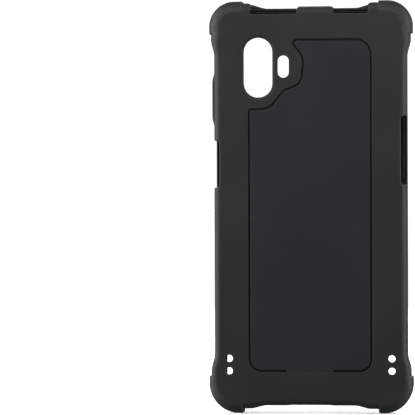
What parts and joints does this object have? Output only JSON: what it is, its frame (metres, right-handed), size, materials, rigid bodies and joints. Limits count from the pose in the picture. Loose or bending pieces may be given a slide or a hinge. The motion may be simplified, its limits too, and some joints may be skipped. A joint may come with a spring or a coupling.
{
  "type": "phone case",
  "caption": "Rugged hybrid phone case: hard inner tray, soft outer sleeve with swelled corners and bumpers, inlaid back panel, sprung key flap and strap holes.",
  "frame": {"origin": "middle of the case's width and thickness, at the level of the two lower bumpers it stands on", "axes": "+Z along the case's length towards the camera end, -Y out of the screen side, +Y out of the back, +X to the right seen from the screen side"},
  "size_m": [0.089, 0.0124, 0.1796],
  "materials": {
    "soft_sleeve": "matte, fine spark-eroded texture",
    "hard_shell": "smooth moulded polycarbonate",
    "back_inlay": "matte, fine spark-eroded texture",
    "bumper": "matte",
    "key_flap": "matte"
  },
  "bodies": {
    "case": {"outer_sleeve": "soft_sleeve", "inner_shell": "hard_shell", "back_panel": "back_inlay", "corner_bumper_top_left": "bumper", "corner_bumper_top_right": "bumper", "corner_bumper_bottom_left": "bumper", "corner_bumper_bottom_right": "bumper"},
    "flap": {"volume_flap": "key_flap"}
  },
  "joints": [
    {"name": "volume_press", "type": "hinge", "parent": "case", "child": "flap", "pos_m": [0.0412, 0.0028, 0.1367], "axis": [0, 0, 1], "range_deg": [-7, 0], "stiffness_Nm_per_rad": 0.05, "springref_deg": 1.15}
  ]
}
